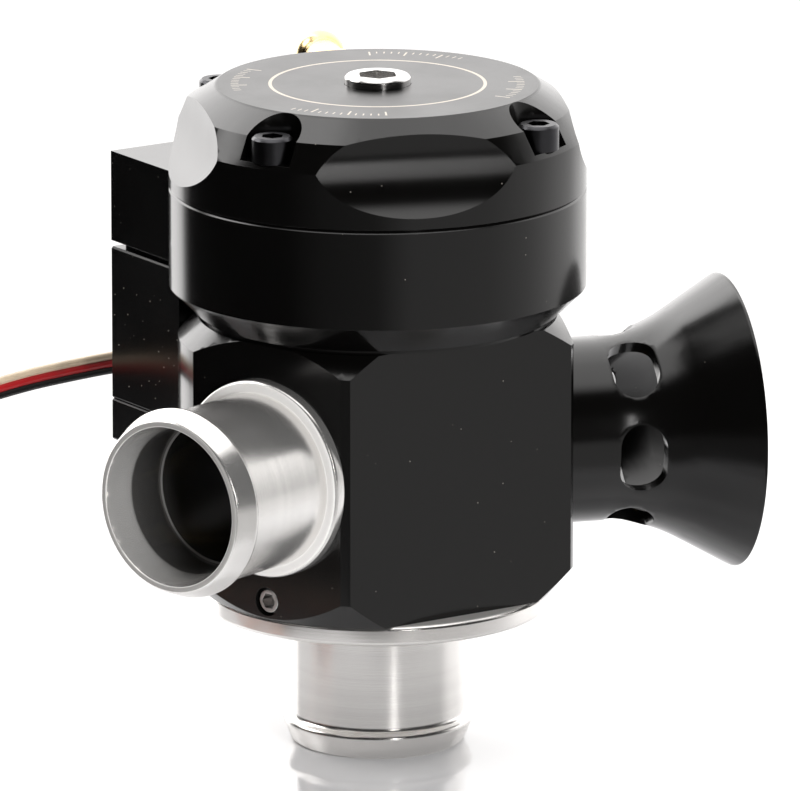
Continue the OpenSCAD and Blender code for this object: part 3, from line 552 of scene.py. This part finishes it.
line_steps = 4
lead_line = smooth_line(lead_points, line_steps)
twist_from = len(lead_line) - 1 - tail_points * line_steps
lobe, lobe_reach = 10, 62
outline = []
for side in (1, -1):
    for wire in (-1, 0, 1):
        for k in range(lobe):
            turn = math.radians(lobe_reach * (2 * k / (lobe - 1) - 1))
            outline.append((side * wire_d / 2 * math.cos(turn),
                            side * (wire * wire_d + wire_d / 2 * math.sin(turn))))
verts, faces = [], []
for i, place in enumerate(lead_line):
    ahead = (lead_line[min(i + 1, len(lead_line) - 1)] - lead_line[max(i - 1, 0)]).normalized()
    thick = ahead.cross(Vector(UP)).normalized()
    wide = thick.cross(ahead)
    share = min(max((i - twist_from) / (0.8 * tail_points * line_steps), 0), 1)
    twist = math.pi / 2 * share * share * (3 - 2 * share)
    across = wide * math.cos(twist) + thick * math.sin(twist)
    through = thick * math.cos(twist) - wide * math.sin(twist)
    verts += [place + through * u + across * v for u, v in outline]
count = len(outline)
for i in range(len(lead_line) - 1):
    for k in range(count):
        nxt = (k + 1) % count
        faces.append((i * count + k, i * count + nxt, (i + 1) * count + nxt, (i + 1) * count + k))
faces += [tuple(reversed(range(count))), tuple(range((len(lead_line) - 1) * count, len(lead_line) * count))]
lead_mesh = bpy.data.meshes.new("servo_lead_ribbon")
lead_mesh.from_pydata(verts, [], faces)
lead_uv = lead_mesh.uv_layers.new(name="along")
for face in lead_mesh.polygons:
    for corner in face.loop_indices:
        ring, k = divmod(lead_mesh.loops[corner].vertex_index, count)
        lead_uv.data[corner].uv = (ring / len(lead_line), 0.5 + outline[k][1] / lead_w)
lead = bpy.data.objects.new("servo_lead_ribbon", lead_mesh)
bpy.context.scene.collection.objects.link(lead)
bpy.ops.object.select_all(action="DESELECT")
bpy.context.view_layer.objects.active = lead
lead.select_set(True)
bpy.ops.object.mode_set(mode="EDIT")
bpy.ops.mesh.select_all(action="SELECT")
bpy.ops.mesh.normals_make_consistent(inside=False)
bpy.ops.object.mode_set(mode="OBJECT")
bpy.ops.object.shade_smooth()
vinyl, surface, point = new_material("three_wire_vinyl", IOR=1.5)
place = point.node("ShaderNodeTexCoord", out=2)
across = Shade(place.tree, place.node("ShaderNodeSeparateXYZ", i0=place).socket.node.outputs[1])
grain = point.noise(1800.0, 3.0, 0.6)
upper = across.step(0.655, 0.675)
lower = 1 - across.step(0.325, 0.345)
red_wire, tan_wire, black_wire = (0.42, 0.012, 0.015, 1), (0.62, 0.5, 0.36, 1), (0.008, 0.008, 0.008, 1)
clean = lower.mix(upper.mix(red_wire, tan_wire), black_wire)
soil = point.noise(240.0, 4.0).step(0.5, 0.8) * 0.3
feed(surface, Base_Color=soil.mix(clean, (0.05, 0.04, 0.035, 1)), Roughness=0.32 + grain * 0.15,
     Normal=point.node("ShaderNodeBump", Height=grain, Strength=0.1, Distance=0.00004))
lead.data.materials.append(vinyl)
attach(lead, "valve")
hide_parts("servo_lead", "lead_coil", "lead_tail")


# Tie and connector: what keeps the coil together, and the three-way plug at the lead's end.
# Moulded black plastic.
def moulded(name):
    """Black plastic with the spark finish of its mould."""
    material, surface, point = new_material(name, Base_Color=(0.014, 0.014, 0.014, 1), IOR=1.5)
    spark = point.noise(1600.0, 3.0, 0.6)
    feed(surface, Roughness=0.38 + spark * 0.2,
         Normal=point.node("ShaderNodeBump", Height=spark, Strength=0.3, Distance=0.00004))
    return material


plug_black = moulded("moulded_black")
tie = dressed("lead_tie", plug_black, bevel=0.0002)
plug = dressed("lead_connector", plug_black, bevel=0.0003)
lead_length = sum((b - a).length for a, b in zip(lead_line, lead_line[1:]))

# Camera: from the front left and a little above, far off with a long lens.
# It aims beside the valve's axis, so that the trumpet stays in the frame.
VIEW_TURN, VIEW_RISE = math.radians(-33.5), math.radians(14.0)
VIEW_AWAY = 1.7
ahead = Vector((-math.sin(VIEW_TURN), math.cos(VIEW_TURN), 0))
aside = Vector((math.cos(VIEW_TURN), math.sin(VIEW_TURN), 0))
towards = -ahead * math.cos(VIEW_RISE) + Vector(UP) * math.sin(VIEW_RISE)
aim = aside * 3.15 * MM + Vector((0, 0, 50.1 * MM))
lens = bpy.data.cameras.new("camera")
lens.sensor_width = 36.0
lens.lens = 540.0
camera = bpy.data.objects.new("camera", lens)
bpy.context.scene.collection.objects.link(camera)
camera.location = aim + towards * VIEW_AWAY
camera.rotation_euler = towards.to_track_quat("Z", "Y").to_euler()
bpy.context.scene.camera = camera

# Studio: a glossy white sheet that fades out at its edges, in a room that is dark at the left and the front.
# White light comes from above and behind, brightest at the back left. A small lamp stands high at the left,
# a narrow strip at the front right, and a fill that no mirror shows lights the pale faces from there.
bpy.ops.object.select_all(action="DESELECT")
bpy.ops.mesh.primitive_plane_add(size=1.0)
floor = bpy.context.active_object
floor.name = "floor_sheet"
sheet_x, sheet_y = (-0.135, 0.27), (-0.095, 0.16)
for corner, (i, k) in zip(floor.data.vertices, ((0, 0), (1, 0), (0, 1), (1, 1))):
    corner.co = (sheet_x[i], sheet_y[k], 0)
floor_white, surface, point = new_material("white_sheet", Base_Color=(0.62, 0.62, 0.63, 1), IOR=1.75)
sheet_fade = 0.04
whole = 1
for axis, (near, far) in (((1, 0, 0), sheet_x), ((0, 1, 0), sheet_y)):
    place = point.along(axis)
    whole = place.step(near, near + sheet_fade) * (1 - place.step(far - sheet_fade, far)) * whole
feed(surface, Roughness=0.07 + point.noise(30.0, 2.0) * 0.04, Alpha=whole)
floor.data.materials.append(floor_white)
softbox = bpy.data.lights.new("softbox", "AREA")
softbox.size = 0.8
softbox.energy = 1.8
softbox_lamp = bpy.data.objects.new("softbox", softbox)
bpy.context.scene.collection.objects.link(softbox_lamp)
softbox_lamp.location = ahead * 0.15 + Vector((0, 0, 1.2))
softbox_lamp.visible_glossy = False
fill = bpy.data.lights.new("fill", "AREA")
fill.size = 0.3
fill.energy = 9.0
fill_from, fill_away = aside * 0.42 - ahead * 0.87 + Vector(UP) * 0.25, 0.8
fill_lamp = bpy.data.objects.new("fill", fill)
bpy.context.scene.collection.objects.link(fill_lamp)
fill_lamp.location = fill_from * fill_away
fill_lamp.rotation_euler = fill_from.to_track_quat("Z", "Y").to_euler()
fill_lamp.visible_glossy = False
world = bpy.data.worlds.new("studio")
bpy.context.scene.world = world
world.use_nodes = True
sky = Shade(world.node_tree)
ray = sky.node("ShaderNodeTexCoord", out=0)
behind = ray.along(tuple(ahead))
beside = ray.along(tuple(aside))
above = ray.along(UP)
BRIGHTEST = 2.6
round_about = beside.math("ARCTAN2", behind) * (1 / (2 * math.pi)) + 0.5
walls = [(-180, 0.15), (-150, 0.1), (-130, 0.01), (-52.5, 0.02), (-47.5, 0.45), (-42, 2.4), (-35, 2.6),
         (-18, 1.6), (0, 1.4), (36, 1.4), (48, 1.05), (64, 1.0), (90, 0.7), (115, 0.52), (162, 0.48),
         (180, 0.15)]
glow = round_about.node("ShaderNodeValToRGB", {"stops": [
    (0.5 + turn / 360, (tone / BRIGHTEST,) * 3 + (1,)) for turn, tone in walls]}, i0=round_about)
grey = glow.node("ShaderNodeSeparateColor", i0=glow)
higher_up = above.step(-0.2, 0.25) * 0.55 + 1
overhead = above.step(0.8, 0.93) * 2.0
low_front = behind.step(-0.05, 0.35).math("MAXIMUM", 1 - above.step(-0.14, 0.04))
left_lamp = -aside * 0.76 + ahead * 0.25 + Vector(UP) * 0.6
left_light = ray.along(tuple(left_lamp)).step(0.945, 0.985) * 4.6
strip_at = 0.9411
in_strip = 1 - (round_about - strip_at).math("ABSOLUTE").step(0.003, 0.007)
strip_light = in_strip * above.step(0.05, 0.12) * (1 - above.step(0.4, 0.5)) * 8.0
light = grey * higher_up * low_front * BRIGHTEST
for source in (overhead, left_light, strip_light):
    light = light.math("MAXIMUM", source)
seen, backdrop = sky.node("ShaderNodeLightPath"), 1.15
strength = seen * backdrop + (1 - seen) * light
background = world.node_tree.nodes["Background"]
background.inputs["Color"].default_value = (1.0, 0.985, 0.975, 1)
world.node_tree.links.new(strength.socket, background.inputs["Strength"])
bpy.context.scene.view_settings.view_transform = "Standard"
